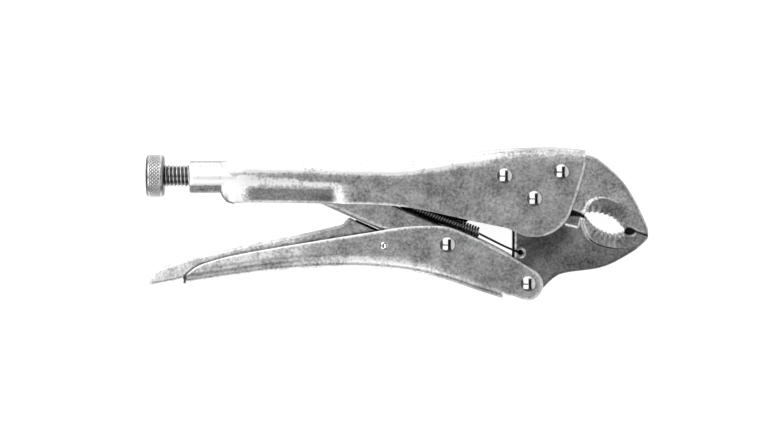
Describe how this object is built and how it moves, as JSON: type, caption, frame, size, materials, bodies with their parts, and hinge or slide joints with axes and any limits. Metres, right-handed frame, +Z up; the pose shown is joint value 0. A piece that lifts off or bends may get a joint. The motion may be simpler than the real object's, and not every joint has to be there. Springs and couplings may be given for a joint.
{
  "type": "locking pliers",
  "caption": "Curved-jaw locking pliers in plated steel, with an adjusting screw at the rear of the upper handle, a toggle link and a release lever.",
  "frame": {"origin": "bottom centre of the bounding box, on the surface that the tool lies on", "axes": "+X along the tool to the nose of the jaws, +Y towards the upper handle, +Z up through the thickness"},
  "size_m": [0.251, 0.0762, 0.0212],
  "materials": {
    "plated_sheet": "satin plated, finely speckled",
    "forged_jaw": "satin plated forging",
    "rivet_steel": "bright domed",
    "screw_steel": "rolled thread",
    "knob_steel": "knurled",
    "spring_steel": "dark wire"
  },
  "bodies": {
    "fixed_handle": {"upper_handle": "plated_sheet", "fixed_jaw": "forged_jaw", "rear_jaw_rivet": "rivet_steel", "front_jaw_rivet": "rivet_steel", "jaw_pivot_rivet": "rivet_steel", "return_spring": "spring_steel"},
    "lower_jaw": {"moving_jaw": "forged_jaw"},
    "moving_handle": {"lower_handle": "plated_sheet", "handle_pivot_rivet": "rivet_steel", "link_rivet": "rivet_steel", "lever_pin": "rivet_steel"},
    "link": {"toggle_link": "plated_sheet"},
    "lever": {"release_lever": "plated_sheet"},
    "screw": {"adjusting_screw": "screw_steel"},
    "knob": {"screw_knob": "knob_steel"}
  },
  "joints": [
    {"name": "jaw_open", "type": "hinge", "parent": "fixed_handle", "child": "lower_jaw", "pos_m": [0.0685, 0.0131, 0.0106], "axis": [0, 0, -1], "range_deg": [0, 18], "deforming": ["return_spring"]},
    {"name": "handle_swing", "type": "hinge", "parent": "lower_jaw", "child": "moving_handle", "pos_m": [0.0655, -0.0296, 0.0106], "axis": [0, 0, 1], "range_deg": [0, 58.6]},
    {"name": "link_fold", "type": "hinge", "parent": "moving_handle", "child": "link", "pos_m": [0.0252, -0.01, 0.0106], "axis": [0, 0, -1], "range_deg": [0, 65.8]},
    {"name": "lever_press", "type": "hinge", "parent": "moving_handle", "child": "lever", "pos_m": [-0.0066, -0.0105, 0.0106], "axis": [0, 0, -1], "range_deg": [0, 2.5]},
    {"name": "screw_travel", "type": "slide", "parent": "fixed_handle", "child": "screw", "axis": [-1, 0, 0], "range_m": [0, 0.0247]},
    {"name": "knob_turn", "type": "hinge", "parent": "screw", "child": "knob", "pos_m": [-0.121, 0.024, 0.0106], "axis": [-1, 0, 0], "range_deg": [0, 4680]}
  ],
  "couplings": [
    {"joint": "handle_swing", "follows": "jaw_open", "ratio": 3.25},
    {"joint": "link_fold", "follows": "jaw_open", "ratio": 3.65},
    {"joint": "knob_turn", "follows": "screw_travel", "rad_per_m": 3306.9}
  ]
}
